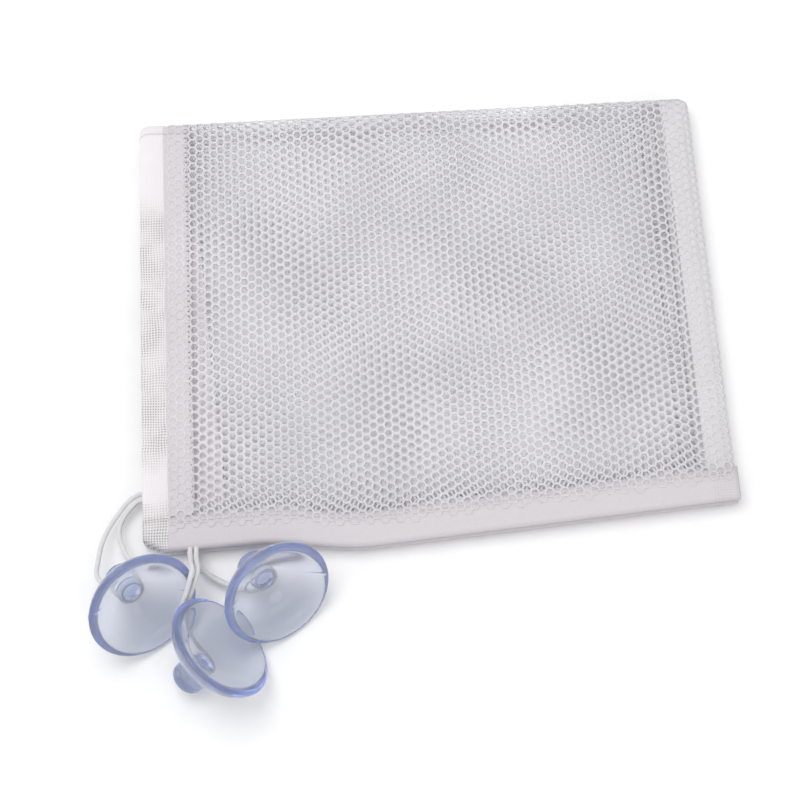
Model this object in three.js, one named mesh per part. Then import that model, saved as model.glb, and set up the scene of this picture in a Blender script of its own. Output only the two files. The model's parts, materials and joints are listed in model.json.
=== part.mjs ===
// Bath toy organizer: a white net bag folded once in half, with three suction cups on cord loops.
// Millimetres, +Z up. X runs from the bag's open mouth to its closed bottom, Y towards the fold.
import * as THREE from 'three';

// Bag: length from mouth to closed bottom, and how far each half reaches from the fold
const BAG_LENGTH = 300;
const MOUTH_HALF = 241.7;
const BOTTOM_HALF = 230.8;

// Net walls, the pocket between them and the space between the two folded halves
const NET_THICKNESS = 0.8;
const POCKET_GAP = 4.8;
const HALF_GAP = 0.4;
const SEAM_CLEARANCE = 0.3;

// Net cells, drawn several times coarser than the real 4 mm cells
const CELL_PITCH = 34;
const CELL_STRAND = 9;
const NET_MARGIN = 5;

// Sewn edges
const MOUTH_TAPE_WIDTH = 26;
const BINDING_WIDTH = 12;
const BOTTOM_FOLD_WIDTH = 7;

// Suction cup, measured from the sealing rim back to the end of the knob
const CUP_RADIUS = 28;
const RIM_LAND = 1.6;
const RIM_EDGE = 1.6;
const DISH_DEPTH = 11.6;
const DOME_DEPTH = 14.6;
const DOME_TOP_RADIUS = 9;
const NECK_RADIUS = 4.6;
const NECK_LENGTH = 7;
const HEAD_RADIUS = 8.5;
const HEAD_LENGTH = 10.4;
const CUP_SIDES = 28;

// Curves of the cup's profile: knob edges, neck fillet, dome and dish
const HEAD_LOWER_ROUND = 1.9;
const HEAD_UPPER_ROUND = 5;
const NECK_FILLET = 2.4;
const DOME_SHOULDER_SHARE = 0.5;
const DOME_SHOULDER_DROP = 1;
const DOME_RIM_INSET = 2;
const DOME_RIM_SHARE = 0.58;
const DISH_RIM_INSET = 3.4;
const DISH_RIM_SHARE = 0.53;
const PROFILE_STEPS = 5;

// Cord, and where it runs round a cup's neck
const CORD_DIAMETER = 2.5;
const CORD_SIDES = 8;
const CORD_STEPS = 56;
const NECK_CLEARANCE = 0.5;
const TURN_NECK_SHARE = 0.51;
const TURN_POINTS = 9;

// Steps of the half-round webs along the bag's edges
const EDGE_CURVE_STEPS = 4;

// Sizes that follow from those above
const HALF_THICKNESS = 2 * NET_THICKNESS + POCKET_GAP;
const STACK_THICKNESS = 2 * HALF_THICKNESS + HALF_GAP;
const FOLD_RADIUS = STACK_THICKNESS / 2;
const MOUTH_X = -BAG_LENGTH / 2;
const BOTTOM_X = BAG_LENGTH / 2;
const FOLD_Y = (MOUTH_HALF + BOTTOM_HALF) / 4;
const SEAM_SLOPE = (MOUTH_HALF - BOTTOM_HALF) / BAG_LENGTH;
const MOUTH_CORNER_Y = FOLD_Y - MOUTH_HALF;
const NECK_START = DOME_DEPTH;
const HEAD_START = NECK_START + NECK_LENGTH;
const CUP_DEPTH = HEAD_START + HEAD_LENGTH;
const CORD_RADIUS = CORD_DIAMETER / 2;
const TURN_RADIUS = NECK_RADIUS + NECK_CLEARANCE + CORD_RADIUS;
const TURN_DEPTH = NECK_START + TURN_NECK_SHARE * NECK_LENGTH;

// Cups as they lie: place of the rim's centre in plan from the bag's mouth corner,
// heading of the open face in plan, and its angle above the table, in degrees
const CUP_PLACES = [
  { x: 2.3, y: -30.8, heading: -54.2, tilt: 33 },
  { x: 39.6, y: -51.6, heading: 30.9, tilt: 38 },
  { x: 67.3, y: -28.6, heading: -56, tilt: 33 },
];

// Cord routes from the bag's mouth corner: out to the cup's neck, the turn round it, and back
const CORD_ROUTES = [
  {
    out: [
      [-0.5, 32.2, 6], [-2.6, 32, 6], [-7.8, 28.8, 6], [-12.8, 22.4, 6.2], [-17.4, 14.8, 7.4],
      [-20.6, 6, 9.6], [-22, -3.5, 12.6], [-22, -11.1, 16.3], [-19.5, -15.6, 17.7], [-15.5, -19.5, 17.7],
    ],
    turn: [182, 358],
    back: [
      [-2.8, -10.3, 17.7], [-5.2, -5.6, 17.4], [-8, -1, 15], [-10, 3.8, 11.6], [-11.8, 8.8, 8.6],
      [-12.2, 14.4, 6.8], [-10.4, 20, 6], [-6.6, 25.2, 6], [-3.2, 28.2, 6], [-0.5, 28.9, 6],
    ],
  },
  {
    out: [
      [21.7, -0.1, 10.7], [21.8, -1.9, 11.7], [22.3, -4.6, 14.4], [23.4, -7.6, 19], [25.1, -10.8, 24.7],
      [26.6, -14.2, 29.3], [25, -18.6, 30], [22.4, -24.4, 26.6], [19.2, -31, 21.8],
      [16.1, -38.3, 16.7], [17.6, -46.7, 17], [19.3, -53.2, 18],
    ],
    turn: [97, 263],
    back: [
      [26, -49.3, 8.1], [21.4, -44.4, 10.4], [17.5, -37.5, 13.3], [20.2, -31.4, 18.2], [24, -25, 23.2],
      [27.2, -19, 26.2], [28.5, -14.6, 25.8], [27.9, -11, 22.2], [26.4, -7.8, 17.4],
      [25.2, -4.6, 13.6], [24.8, -1.9, 11.6], [24.7, 0, 10.7],
    ],
  },
  {
    out: [
      [26, 0.5, 7.9], [26, -1.6, 7.8], [26.8, -4.8, 7], [29.2, -8.6, 6], [33, -12.4, 5.5],
      [38.4, -16, 6.6], [43.3, -18.6, 9.4], [45.6, -18.2, 14.3], [49.2, -17.2, 18.4],
    ],
    turn: [114, -114],
    back: [
      [52.3, -21.8, 9.4], [47.6, -20.5, 7.2], [43.8, -18.1, 5.3], [38.4, -14.8, 3], [33.4, -11.6, 2],
      [28.6, -8.6, 2.4], [25, -6.2, 4], [23.1, -3.8, 6], [22.8, -1.6, 7.5], [22.8, 0.5, 8],
    ],
  },
];

const netLook = { color: 0xe3e3ea, roughness: 0.7, metalness: 0 };
const tapeLook = { color: 0xe4dde1, roughness: 0.8, metalness: 0 };
const cordLook = { color: 0xececee, roughness: 0.6, metalness: 0 };
const cupLook = { color: 0xb4bfe0, roughness: 0.12, metalness: 0 };

const assembly = new THREE.Group();

function addPart(name, geometry, look, parent = assembly) {
  const mesh = new THREE.Mesh(geometry, new THREE.MeshStandardMaterial(look));
  mesh.name = name;
  parent.add(mesh);
  return mesh;
}

// Y of the sewn side edge at a place along the bag: the mouth is a little longer than the bottom
function seamY(x) {
  return MOUTH_CORNER_Y + SEAM_SLOPE * (x - MOUTH_X);
}

// A flat plate from a plan outline, with its underside at height z
function plate(outline, holes, z) {
  const shape = new THREE.Shape(outline);
  shape.holes = holes;
  const geometry = new THREE.ExtrudeGeometry(shape, { depth: NET_THICKNESS, bevelEnabled: false });
  return geometry.translate(0, 0, z);
}

// Four-sided plan outline between two places along the bag, from the seam's offset to a top edge
function bandOutline(x0, x1, seamOffset, topY) {
  return [
    new THREE.Vector2(x0, seamY(x0) + seamOffset),
    new THREE.Vector2(x1, seamY(x1) + seamOffset),
    new THREE.Vector2(x1, topY),
    new THREE.Vector2(x0, topY),
  ];
}

// One six-sided cell of the net, as a hole with a point towards the fold
function cellHole(x, y) {
  const radius = (CELL_PITCH - CELL_STRAND) / Math.sqrt(3);
  const hole = new THREE.Path();
  for (let corner = 0; corner < 6; corner += 1) {
    const angle = Math.PI / 6 + (corner * Math.PI) / 3;
    const px = x + radius * Math.cos(angle);
    const py = y + radius * Math.sin(angle);
    if (corner === 0) hole.moveTo(px, py);
    else hole.lineTo(px, py);
  }
  hole.closePath();
  return hole;
}

// Staggered rows of cells with a plain margin inside the panel's outline. The inner wall's cells lie
// over the crossings of the outer wall's, so no hole runs straight through both.
function netHoles(x0, x1, seamOffset, isInner) {
  const rowStep = (CELL_PITCH * Math.sqrt(3)) / 2;
  const reach = (CELL_PITCH - CELL_STRAND) / Math.sqrt(3) + NET_MARGIN;
  const firstY = FOLD_Y - FOLD_RADIUS - SEAM_CLEARANCE - reach - (isInner ? rowStep / 3 : 0);
  const lowY = Math.max(seamY(x0), seamY(x1)) + seamOffset + reach;
  const columns = 1 + Math.floor((x1 - x0 - 2 * reach) / CELL_PITCH);
  const firstX = (x0 + x1) / 2 - ((columns - 1) / 2) * CELL_PITCH;
  const holes = [];
  for (let row = 0; firstY - row * rowStep > lowY; row += 1) {
    const isShort = (row % 2 === 1) !== isInner;
    const startX = isShort ? firstX + CELL_PITCH / 2 : firstX;
    const count = isShort ? columns - 1 : columns;
    for (let column = 0; column < count; column += 1) {
      holes.push(cellHole(startX + column * CELL_PITCH, firstY - row * rowStep));
    }
  }
  return holes;
}

function netPanel(topY, z, isInner) {
  const x0 = MOUTH_X + MOUTH_TAPE_WIDTH + SEAM_CLEARANCE;
  const x1 = BOTTOM_X - BOTTOM_FOLD_WIDTH - SEAM_CLEARANCE;
  const seamOffset = BINDING_WIDTH + SEAM_CLEARANCE;
  const outline = bandOutline(x0, x1, seamOffset, topY);
  return plate(outline, netHoles(x0, x1, seamOffset, isInner), z);
}

// Woven tape along the mouth, in the plane of the net that it hems
function mouthTape(topY, z) {
  const seamOffset = BINDING_WIDTH + SEAM_CLEARANCE;
  return plate(bandOutline(MOUTH_X, MOUTH_X + MOUTH_TAPE_WIDTH, seamOffset, topY), [], z);
}

// Channel section of a sewn or folded edge: two leaves a pocket apart, joined by a half-round web
function channelShape(width) {
  const outer = HALF_THICKNESS / 2;
  const inner = POCKET_GAP / 2;
  const shape = new THREE.Shape();
  shape.moveTo(width, 0);
  shape.lineTo(width, NET_THICKNESS);
  shape.lineTo(outer, NET_THICKNESS);
  shape.absarc(outer, outer, inner, -Math.PI / 2, -1.5 * Math.PI, true);
  shape.lineTo(width, HALF_THICKNESS - NET_THICKNESS);
  shape.lineTo(width, HALF_THICKNESS);
  shape.lineTo(outer, HALF_THICKNESS);
  shape.absarc(outer, outer, outer, Math.PI / 2, 1.5 * Math.PI, false);
  shape.closePath();
  return shape;
}

// Tape folded over both net walls along the sewn side, set to the seam's slope
function sideBinding(z) {
  const settings = { depth: BAG_LENGTH, bevelEnabled: false, curveSegments: EDGE_CURVE_STEPS };
  const geometry = new THREE.ExtrudeGeometry(channelShape(BINDING_WIDTH), settings);
  geometry.rotateX(Math.PI / 2);
  geometry.rotateZ(Math.PI / 2);
  geometry.applyMatrix4(new THREE.Matrix4().makeShear(SEAM_SLOPE, 0, 0, 0, 0, 0));
  return geometry.translate(MOUTH_X, MOUTH_CORNER_Y, z);
}

// The net's own fold at the closed bottom
function bottomFold(z) {
  const startY = seamY(BOTTOM_X) + BINDING_WIDTH + SEAM_CLEARANCE;
  const endY = FOLD_Y - FOLD_RADIUS - SEAM_CLEARANCE;
  const settings = { depth: endY - startY, bevelEnabled: false, curveSegments: EDGE_CURVE_STEPS };
  const geometry = new THREE.ExtrudeGeometry(channelShape(BOTTOM_FOLD_WIDTH), settings);
  geometry.rotateX(Math.PI / 2);
  geometry.rotateZ(Math.PI);
  return geometry.translate(BOTTOM_X, startY, z);
}

// Quarter round of the outer wall where the bag is folded in half
function foldEdge(fromAngle, toAngle) {
  const shape = new THREE.Shape();
  const inner = FOLD_RADIUS - NET_THICKNESS;
  shape.absarc(0, 0, FOLD_RADIUS, fromAngle, toAngle, false);
  shape.absarc(0, 0, inner, toAngle, fromAngle, true);
  shape.closePath();
  const settings = { depth: BAG_LENGTH, bevelEnabled: false, curveSegments: EDGE_CURVE_STEPS };
  const geometry = new THREE.ExtrudeGeometry(shape, settings);
  geometry.rotateX(Math.PI / 2);
  geometry.rotateZ(Math.PI / 2);
  return geometry.translate(MOUTH_X, FOLD_Y - FOLD_RADIUS, STACK_THICKNESS / 2);
}

// One half of the folded bag: outer wall, inner wall, mouth tapes, binding and folds
function bagHalf(side, baseZ, outerIsBelow) {
  const low = baseZ;
  const high = baseZ + NET_THICKNESS + POCKET_GAP;
  const outerZ = outerIsBelow ? low : high;
  const innerZ = outerIsBelow ? high : low;
  const outerTopY = FOLD_Y - FOLD_RADIUS - SEAM_CLEARANCE;
  const innerTopY = FOLD_Y - NET_THICKNESS - 2 * SEAM_CLEARANCE;
  const lift = Math.asin(HALF_GAP / 2 / FOLD_RADIUS);
  const quarter = Math.PI / 2;
  addPart(`${side}_outer_net`, netPanel(outerTopY, outerZ, false), netLook);
  addPart(`${side}_inner_net`, netPanel(innerTopY, innerZ, true), netLook);
  addPart(`${side}_outer_mouth_tape`, mouthTape(outerTopY, outerZ), tapeLook);
  addPart(`${side}_inner_mouth_tape`, mouthTape(innerTopY, innerZ), tapeLook);
  addPart(`${side}_side_binding`, sideBinding(baseZ), tapeLook);
  addPart(`${side}_bottom_fold`, bottomFold(baseZ), netLook);
  const arc = outerIsBelow ? [-quarter, -lift] : [lift, quarter];
  addPart(`${side}_fold_edge`, foldEdge(arc[0], arc[1]), netLook);
}

// Profile of a cup from the end of its knob, over dome and rim, to the middle of its dish
function cupProfile() {
  const headWide = HEAD_START + HEAD_LOWER_ROUND;
  const headRound = CUP_DEPTH - HEAD_UPPER_ROUND;
  const shoulder = DOME_TOP_RADIUS + DOME_SHOULDER_SHARE * (CUP_RADIUS - DOME_TOP_RADIUS);
  const profile = new THREE.Path();
  profile.moveTo(0, -CUP_DEPTH);
  profile.quadraticCurveTo(HEAD_RADIUS, -CUP_DEPTH, HEAD_RADIUS, -headRound);
  profile.lineTo(HEAD_RADIUS, -headWide);
  profile.quadraticCurveTo(HEAD_RADIUS, -HEAD_START, NECK_RADIUS, -HEAD_START);
  profile.lineTo(NECK_RADIUS, -(NECK_START + NECK_FILLET));
  profile.quadraticCurveTo(NECK_RADIUS, -NECK_START, DOME_TOP_RADIUS, -NECK_START);
  profile.bezierCurveTo(
    shoulder, -(DOME_DEPTH - DOME_SHOULDER_DROP),
    CUP_RADIUS - DOME_RIM_INSET, -DOME_RIM_SHARE * DOME_DEPTH,
    CUP_RADIUS, -RIM_EDGE,
  );
  profile.lineTo(CUP_RADIUS, 0);
  profile.lineTo(CUP_RADIUS - RIM_LAND, 0);
  profile.bezierCurveTo(
    CUP_RADIUS - RIM_LAND - DISH_RIM_INSET, -DISH_RIM_SHARE * DISH_DEPTH,
    CUP_RADIUS / 2, -DISH_DEPTH,
    0, -DISH_DEPTH,
  );
  return profile.getPoints(PROFILE_STEPS);
}

// Direction of a cup's open face, and the two directions across its neck
function cupAxes(place) {
  const heading = THREE.MathUtils.degToRad(place.heading);
  const tilt = THREE.MathUtils.degToRad(place.tilt);
  const plan = Math.cos(tilt);
  const axis = new THREE.Vector3(plan * Math.cos(heading), plan * Math.sin(heading), Math.sin(tilt));
  const across = new THREE.Vector3(0, 0, 1).cross(axis).normalize();
  const uphill = new THREE.Vector3().crossVectors(axis, across);
  return { axis, across, uphill };
}

// Height of the rim's centre that lets the cup's lowest point touch the table
function cupHeight(place, profile) {
  const tilt = THREE.MathUtils.degToRad(place.tilt);
  const drops = profile.map((p) => p.x * Math.cos(tilt) - p.y * Math.sin(tilt));
  return Math.max(...drops);
}

// A cord loop: one tube from the hem to the cup's neck, round it and back to the hem
function cordLoop(route, centre, axes) {
  const neck = centre.clone().addScaledVector(axes.axis, -TURN_DEPTH);
  const turn = [];
  for (let i = 0; i < TURN_POINTS; i += 1) {
    const degrees = THREE.MathUtils.lerp(route.turn[0], route.turn[1], i / (TURN_POINTS - 1));
    const angle = THREE.MathUtils.degToRad(degrees);
    const point = neck.clone();
    point.addScaledVector(axes.across, TURN_RADIUS * Math.cos(angle));
    point.addScaledVector(axes.uphill, TURN_RADIUS * Math.sin(angle));
    turn.push(point);
  }
  const out = route.out.map((p) => new THREE.Vector3(...p));
  const back = route.back.map((p) => new THREE.Vector3(...p));
  const path = new THREE.CatmullRomCurve3([...out, ...turn, ...back], false, 'centripetal');
  const section = new THREE.Shape();
  section.absarc(0, 0, CORD_RADIUS, 0, 2 * Math.PI, false);
  const settings = { steps: CORD_STEPS, extrudePath: path, curveSegments: CORD_SIDES / 2 };
  return new THREE.ExtrudeGeometry(section, settings);
}

bagHalf('lower', 0, true);
bagHalf('upper', HALF_THICKNESS + HALF_GAP, false);

const mouthCorner = new THREE.Group();
mouthCorner.position.set(MOUTH_X, MOUTH_CORNER_Y, 0);
assembly.add(mouthCorner);

const profile = cupProfile();
CUP_PLACES.forEach((place, index) => {
  const number = index + 1;
  const axes = cupAxes(place);
  const centre = new THREE.Vector3(place.x, place.y, cupHeight(place, profile));
  const geometry = new THREE.LatheGeometry(profile, CUP_SIDES);
  const cup = addPart(`suction_cup_${number}`, geometry, cupLook, mouthCorner);
  cup.position.copy(centre);
  cup.quaternion.setFromUnitVectors(new THREE.Vector3(0, 1, 0), axes.axis);
  addPart(`cord_loop_${number}`, cordLoop(CORD_ROUTES[index], centre, axes), cordLook, mouthCorner);
});

// The origin lies under the middle of the bag and cups, on the table
const organizer = new THREE.Group();
organizer.add(assembly);
organizer.updateMatrixWorld(true);
const reach = new THREE.Box3();
assembly.traverse((part) => {
  if (part.isMesh && !part.name.startsWith('cord_')) reach.expandByObject(part, true);
});
const middle = reach.getCenter(new THREE.Vector3());
assembly.position.set(-middle.x, -middle.y, -reach.min.z);

export default organizer;
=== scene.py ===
import json
import math

import bmesh
import bpy
import numpy as np
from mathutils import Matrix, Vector


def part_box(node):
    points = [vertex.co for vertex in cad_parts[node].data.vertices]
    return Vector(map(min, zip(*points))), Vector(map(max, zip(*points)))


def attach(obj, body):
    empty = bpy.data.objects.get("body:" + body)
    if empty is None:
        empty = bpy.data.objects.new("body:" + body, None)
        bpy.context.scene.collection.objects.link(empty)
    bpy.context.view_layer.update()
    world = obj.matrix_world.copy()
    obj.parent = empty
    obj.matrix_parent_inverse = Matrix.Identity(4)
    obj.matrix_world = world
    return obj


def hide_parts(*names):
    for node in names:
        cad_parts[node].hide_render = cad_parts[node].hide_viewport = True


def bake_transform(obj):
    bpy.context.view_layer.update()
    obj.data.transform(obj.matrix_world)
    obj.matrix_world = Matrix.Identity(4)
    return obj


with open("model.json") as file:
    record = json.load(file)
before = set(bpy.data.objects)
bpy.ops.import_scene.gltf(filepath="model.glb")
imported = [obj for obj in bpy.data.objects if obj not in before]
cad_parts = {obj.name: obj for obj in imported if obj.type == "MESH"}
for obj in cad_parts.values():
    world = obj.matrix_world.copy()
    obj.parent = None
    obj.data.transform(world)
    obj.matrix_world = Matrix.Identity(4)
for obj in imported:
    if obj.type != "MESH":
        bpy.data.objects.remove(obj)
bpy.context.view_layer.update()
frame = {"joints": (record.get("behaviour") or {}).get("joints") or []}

# Looks of a white net bag, folded once in half, with three clear suction cups on cord loops.
# Sizes are in millimetres and turn into metres where meshes are made.
MM = 0.001
scene = bpy.context.scene
joints = {joint["name"]: joint for joint in frame["joints"]}

# Places that the frame gives
binding_low, binding_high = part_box("lower_side_binding")
MOUTH_X, CORNER_Y = binding_low.x / MM, binding_low.y / MM
BOTTOM_X = binding_high.x / MM
FOLD_Y = joints["bag_unfold"]["pos_m"][1] / MM
FOLD_Z = joints["bag_unfold"]["pos_m"][2] / MM
UPPER_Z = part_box("upper_inner_net")[0].z / MM
TAPE_EDGE_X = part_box("lower_outer_mouth_tape")[1].x / MM
BAG_LENGTH, WALL_WIDTH = BOTTOM_X - MOUTH_X, FOLD_Y - CORNER_Y
MIDDLE_X, MIDDLE_Y = (MOUTH_X + BOTTOM_X) / 2, (CORNER_Y + FOLD_Y) / 2

# Seam: the bag's width at the mouth and at the bottom, the length between them, the bow and its start
MOUTH_WIDTH, BOTTOM_WIDTH, SEAM_RUN = 241.7, 230.8, 300.0
SEAM_SLOPE = (MOUTH_WIDTH - BOTTOM_WIDTH) / SEAM_RUN
SEAM_BOW, BOW_START = 10.5, (58.0, 116.0)

# Net: cell steps along and across the bag, hole share of a cell, strand height and turn of the cells.
# A cell's corners count in thirds of CELL_X and halves of CELL_Y. FAR lies beyond every edge.
CELL_X, CELL_Y = 3.78, 4.74
CELL_CORNERS = np.array([[2, 0], [1, 1], [-1, 1], [-2, 0], [-1, -1], [1, -1]])
HOLE_SHARE = 0.77
STRAND_HEIGHT = 0.56
STRAND_SHARP = math.radians(75.0)
OUTER_SPIN, INNER_SPIN = math.radians(0.6), math.radians(3.0)
NET_FIELD = (170.0, 260.0)
FAR = 400.0

# Fold: the radius of each wall's turn, how far the inner wall stops short, and the round corners
OUTER_TURN, INNER_TURN = 6.2, 0.6
INNER_SHORT = 0.9
FOLD_GAP = 0.1
CORNER_ROUND = 5.0
FOLD_EASE = 14.0

# Each wall's height where it lies slack, its height where it is sewn, and its share of the ripples
UPPER_OUTER, LOWER_OUTER = (11.4, 11.0, 1.0), (0.4, 1.6, 0.0)
UPPER_INNER, LOWER_INNER = (UPPER_Z + 0.5, UPPER_Z + 1.1, 0.25), (5.0, 4.5, 1.0)
SLACK_EASE, SEWN_EASE = 70.0, 20.0
LONG_RIPPLE, LONG_X, LONG_Y, LONG_PHASE = 0.3, 21.0, 27.0, 0.6
SHORT_RIPPLE, SHORT_X, SHORT_Y = 0.15, 11.0, 15.0

# Strips that cross the fold, how soon they bend with it, and the slack layer of net inside it
OUTER_STRIP, INNER_STRIP = OUTER_TURN * math.pi / 2, 5.0
TAPE_LAP = 1.0
SLACK_STRIP, SLACK_SINK = 13.0, 0.62

# Binding: width, cut corner at the mouth, cloth, shares of its width, stations along it, and heights
BINDING_WIDTH = 16.5
BINDING_CHAMFER_X, BINDING_CHAMFER_Y = 11.0, 6.0
BINDING_CLOTH = 0.5
BINDING_ROUND, BINDING_FLAT, BINDING_LOOSE = 0.16, 0.6, 0.7
BINDING_POINTS = 13
BINDING_MIDDLE, BINDING_END = (16.0, 288.0, 48), (293.0, 297.0, 300.0)
UPPER_BINDING, LOWER_BINDING = (UPPER_Z + 0.1, 11.9), (0.75, 5.4)

# Net at its edges: how far the inner net lies inside the binding, how far the outer net lies over it,
# how high it rises there and how soon, how far it stops short of the bottom, and its laps at the mouth
NET_UNDER, NET_OVER = 3.5, 5.5
SEAM_LIFT, LIFT_EASE = 1.2, 6.0
NET_END = 4.2
UNDER_TAPE, UNDER_LINING = 4.0, 1.5

# The net's edge turned in at the seam: a pressed strip, a wider loose strip, and how deep they lie
PRESSED_EDGE, LOOSE_EDGE = 2.5, 8.0
PRESSED_UNDER, LOOSE_UNDER = 8.0, 3.0
PRESSED_SINK, LOOSE_SINK = 1.8, 1.25
PRESSED_ENDS, PRESSED_HALF = 2.0, 0.22
PRESSED_COLUMNS, PRESSED_ROWS = 130, 8

# The closed bottom: the net's turn, the pressed hem inside it, and the length of both
BOTTOM_NET_WIDTH, BOTTOM_CLOTH_LENGTH = 12.0, WALL_WIDTH - 16.0
BOTTOM_INSET, BOTTOM_LEAST = 0.5, 0.3
HEM_WIDTH, HEM_STEP, HEM_TURN = 15.5, 3.0, 3.0
HEM_INSET, HEM_GAP, HEM_LEAST = 1.1, 0.65, 0.5
HEM_FROM_SEAM, HEM_FROM_FOLD = 2.0, 0.9
HEM_LEG_POINTS, HEM_BOW_POINTS, HEM_COLUMNS = 8, 11, 90

# Mouth tape: half thickness, where its sheer half ends, how deep its dense half lies under the net,
# how much the inner tape widens towards the seam, how far tapes stop short of it, where their length
# is taken, and stations across them
TAPE_HALF = 0.3
TAPE_SHEER, TAPE_EASE, TAPE_UNDER = 13.2, 0.8, 0.65
TAPE_WIDEN, WIDEN_RANGE = 17.0, (12.0, 26.0)
TAPE_SHORT, TAPE_STEP, TAPE_LEAST_STEPS = 2.0, 1.6, 6
TAPE_MEASURE = 20.0
TAPE_STATIONS = np.array([
    0.0, 0.1, 0.4, 1.0, 2.0, 3.5, 5.0, 8.0, 11.0, 12.4, 12.9, 13.4, 14.0, 17.0, 21.0, 24.0, 25.4, 26.0,
])

# Share of a cloth's thickness that is left at its edges
EDGE_THIN = 0.6

# Flat lengths of the wall nets along the bag and across it
NET_LENGTH, PANEL_WIDTH = BOTTOM_X - NET_END - TAPE_EDGE_X, WALL_WIDTH - 13.0

# Stitches: rows, pitches, share of a pitch on show, thread, and the seam row's height off the binding
STITCH_ROW, STITCH_PITCH, STITCH_SHOWN = 25.0, 2.9, 0.68
STITCH_START, STITCH_STOP = 12.0, 18.5
SEAM_ROW, SEAM_STITCH, SEAM_SHOWN = 2.2, 4.0, 0.62
SEAM_START, SEAM_STOP = 14.0, 5.0
THREAD_RADIUS, THREAD_SIDES = 0.22, 6
UPPER_STITCH_RISE, LOWER_STITCH_DROP = 0.3, 0.45

# Weave of the tape: pitches and NEEDLE_HALF in metres, then where the painted shade of the needle
# holes, the dots and the patches lie
DOT_PITCH, DOT_DRIFT, RIB_PITCH = 0.0014, 0.0022, 0.0007
NEEDLE_HALF, NEEDLE_LEVEL, NEEDLE_CLEAR = 0.0006, 0.86, 1.0
DOTS_END, FAR_DOTS_START, FAR_DOTS_SHARE = 12.8, 13.0, 0.2
PATCH_SCALE, PATCH_SHIFT = 4.0, 0.34

# Cup profile: the frame's outside, with a narrower rim land, a thicker flank and a thinner middle
CUP_RADIUS, RIM_LAND, RIM_EDGE = 28.0, 1.3, 1.6
DISH_DEPTH, DOME_DEPTH, DOME_TOP_RADIUS = 12.4, 14.6, 9.0
NECK_RADIUS, NECK_LENGTH, NECK_FILLET = 4.6, 7.0, 2.4
HEAD_RADIUS, HEAD_LENGTH, HEAD_ROUND, HEAD_FILLET = 8.5, 10.4, 5.0, 1.9
SHOULDER, FLANK = (18.5, DOME_DEPTH - 1.0), (CUP_RADIUS - 2.0, 0.58 * DOME_DEPTH)
DISH_FLANK, DISH_MIDDLE = (20.4, 0.13 * DISH_DEPTH), (15.4, DISH_DEPTH)
CUP_HALF_SIDES = 110
CUP_SHARP = math.radians(35.0)

# Mould line: its turn on each cup, its degrees and heights across, and where the plain side starts
MOULD_TURN = (150.0, 123.0, 160.0)
MOULD_DEGREES, MOULD_HEIGHTS, MOULD_CLEAR = (-0.5, 0.0, 0.5), (0.15, 0.26, 0.15), 1.3

# Cord: thickness, braid, turn round a cup's neck, the body it rides on, and where it comes free
CORD_DIAMETER, CORD_STEP, SPAN_POINTS = 2.5, 0.4, 24
CORD_SIDES, CORD_STRANDS, CORD_LAY = 20, 5, 7.5
BRAID_LOW, BRAID_RISE = 0.93, 0.09
TURN_RADIUS = NECK_RADIUS + 0.5 + CORD_DIAMETER / 2
TURN_DEPTH = DOME_DEPTH + 0.51 * NECK_LENGTH
TURN_POINTS = 9
CORD_BODIES = ("bag_lower", "corner_loops", "corner_loops")

# Cord points from the mouth corner: out, degrees round the cup's neck, and back
CORD_ROUTES = (
    (
        [[-0.5, 32.2, 6], [-2.6, 32, 6], [-7.8, 28.8, 6], [-12.8, 22.4, 6.2], [-17.4, 14.8, 7.4],
         [-20.6, 6, 9.6], [-22, -3.5, 12.6], [-22, -11.1, 16.3], [-19.5, -15.6, 17.7],
         [-15.5, -19.5, 17.7]],
        (182.0, 358.0),
        [[-2.8, -10.3, 17.7], [-5.2, -5.6, 17.4], [-8, -1, 15], [-10, 3.8, 11.6], [-11.8, 8.8, 8.6],
         [-12.2, 14.4, 6.8], [-10.4, 20, 6], [-6.6, 25.2, 6], [-3.2, 28.2, 6], [-0.5, 28.9, 6]],
    ),
    (
        [[23.4, -0.1, 10.7], [23.5, -1.9, 11.7], [23.8, -4.6, 14.4], [24.3, -7.6, 19],
         [25.2, -10.8, 24.7], [26.2, -14.2, 29.3], [25.4, -18.6, 30], [23.2, -24.4, 26.6],
         [19.8, -31, 21.8], [16.1, -38.3, 16.7], [17.6, -46.7, 17], [19.3, -53.2, 18]],
        (97.0, 263.0),
        [[26, -49.3, 8.1], [21.4, -44.4, 10.4], [17.5, -37.5, 13.3], [20.8, -31.4, 18.2],
         [24.6, -25, 23.2], [27.4, -19, 26.2], [28.5, -14.6, 25.8], [28.1, -11, 22.2],
         [27.3, -7.8, 17.4], [26.6, -4.6, 13.6], [26.5, -1.9, 11.6], [26.4, 0, 10.7]],
    ),
    (
        [[26, 0.5, 7.9], [26, -1.6, 7.8], [26.8, -4.8, 7], [29.2, -8.6, 6], [33, -12.4, 5.5],
         [38.4, -16, 6.6], [43.3, -18.6, 9.4], [45.6, -18.2, 14.3], [49.2, -17.2, 18.4]],
        (114.0, -114.0),
        [[52.3, -21.8, 9.4], [47.6, -20.5, 7.2], [43.8, -18.1, 5.3], [38.4, -14.8, 3], [33.4, -11.6, 2],
         [28.6, -8.6, 2.4], [25, -6.2, 4], [23.1, -3.8, 6], [22.8, -1.6, 7.5], [22.8, 0.5, 8]],
    ),
)

# How each cord's two ends run on into the cloth that holds them
SEWN_IN = ((1.8, 0.1, -0.1), (0.0, 1.8, -0.4), (0.0, 1.6, 0.1))

# Camera
CAMERA_AZIMUTH, CAMERA_ELEVATION = math.radians(-3.4), math.radians(69.7)
CAMERA_DISTANCE = 900.0
CAMERA_TARGET = Vector((-6.0, -4.45, 0.0))
CAMERA_LENS, SENSOR_WIDTH = 77.99, 36.0

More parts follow.
